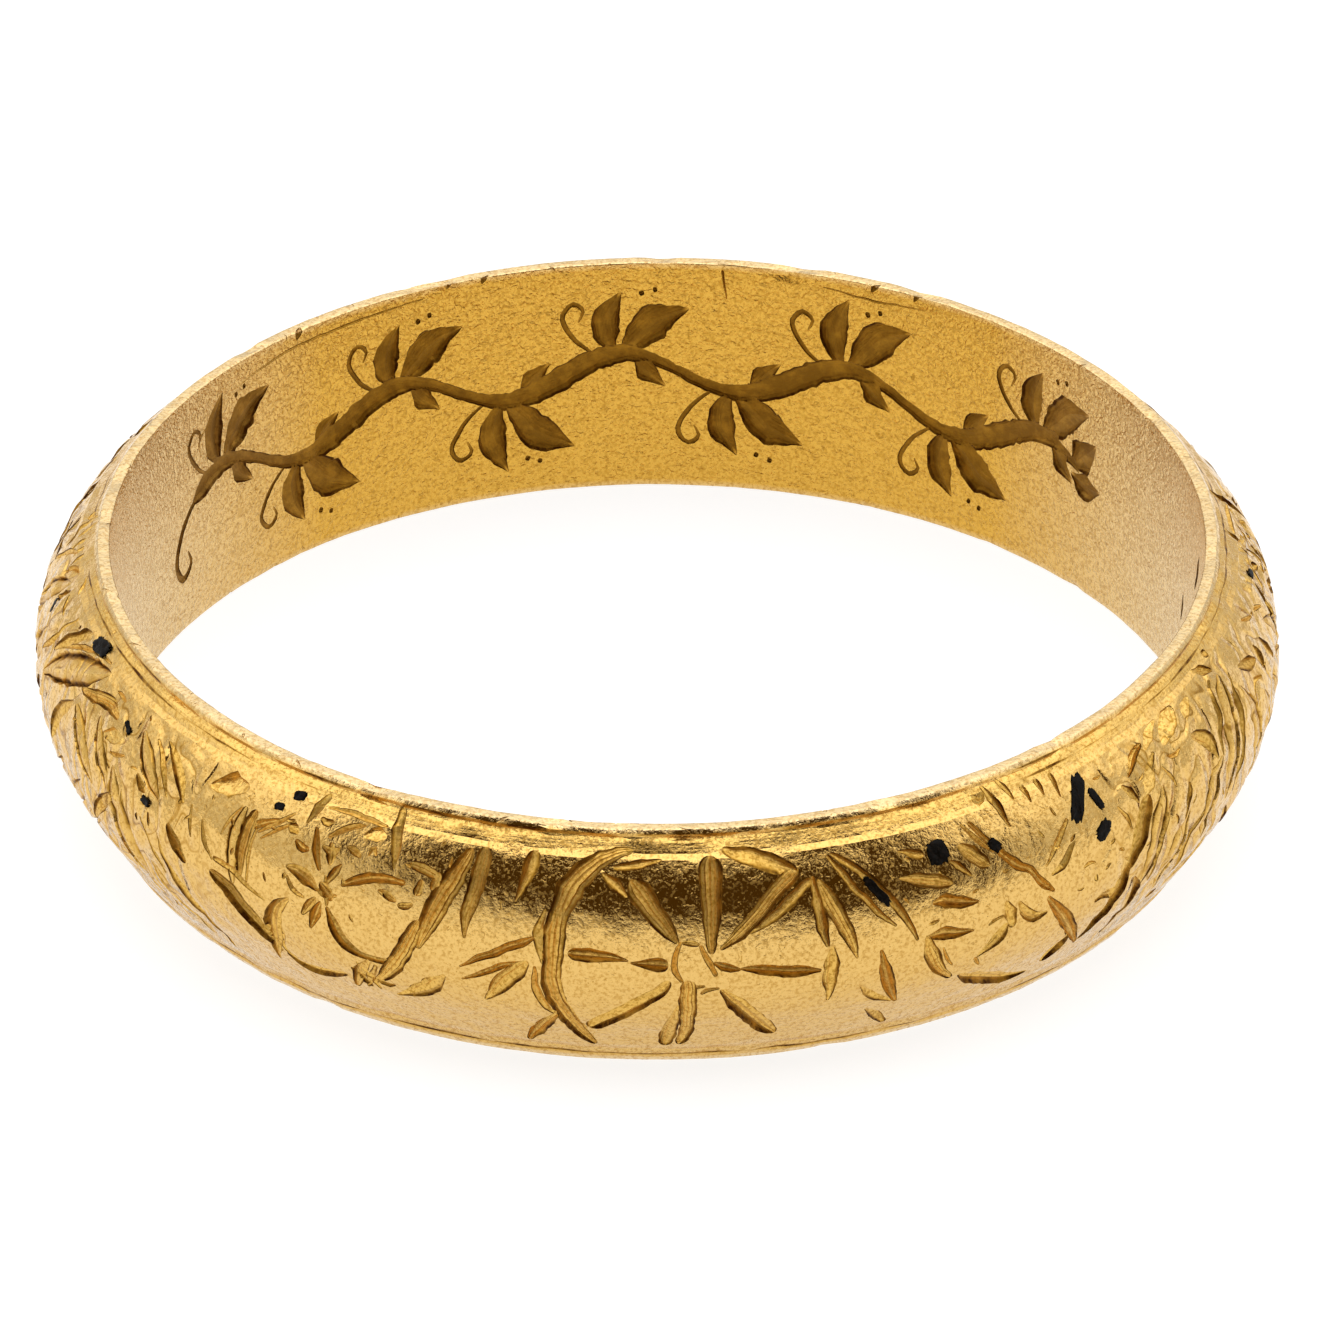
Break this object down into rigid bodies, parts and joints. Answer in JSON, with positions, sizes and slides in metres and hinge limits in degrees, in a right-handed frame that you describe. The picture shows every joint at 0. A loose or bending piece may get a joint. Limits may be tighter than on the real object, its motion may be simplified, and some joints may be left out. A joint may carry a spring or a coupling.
{
  "type": "posy ring",
  "caption": "Gold finger ring with a D-shaped band: plain flat inside, domed outside engraved with flowers and leaves between two border grooves, with remains of black enamel.",
  "frame": {"origin": "centre of the lower rim's plane, which the ring rests on", "axes": "+Z along the finger hole's axis, up as the ring lies on its side; -Y towards the front of the picture, where the engraved flower is"},
  "size_m": [0.02, 0.02, 0.0043],
  "materials": {
    "engraved_gold": "worn 22-carat gold, hand engraved and softly polished, brown in the cuts",
    "black_enamel": "glossy black enamel, worn down to small patches"
  },
  "bodies": {
    "root": {"band": "engraved_gold", "enamel": "black_enamel"}
  },
  "joints": []
}
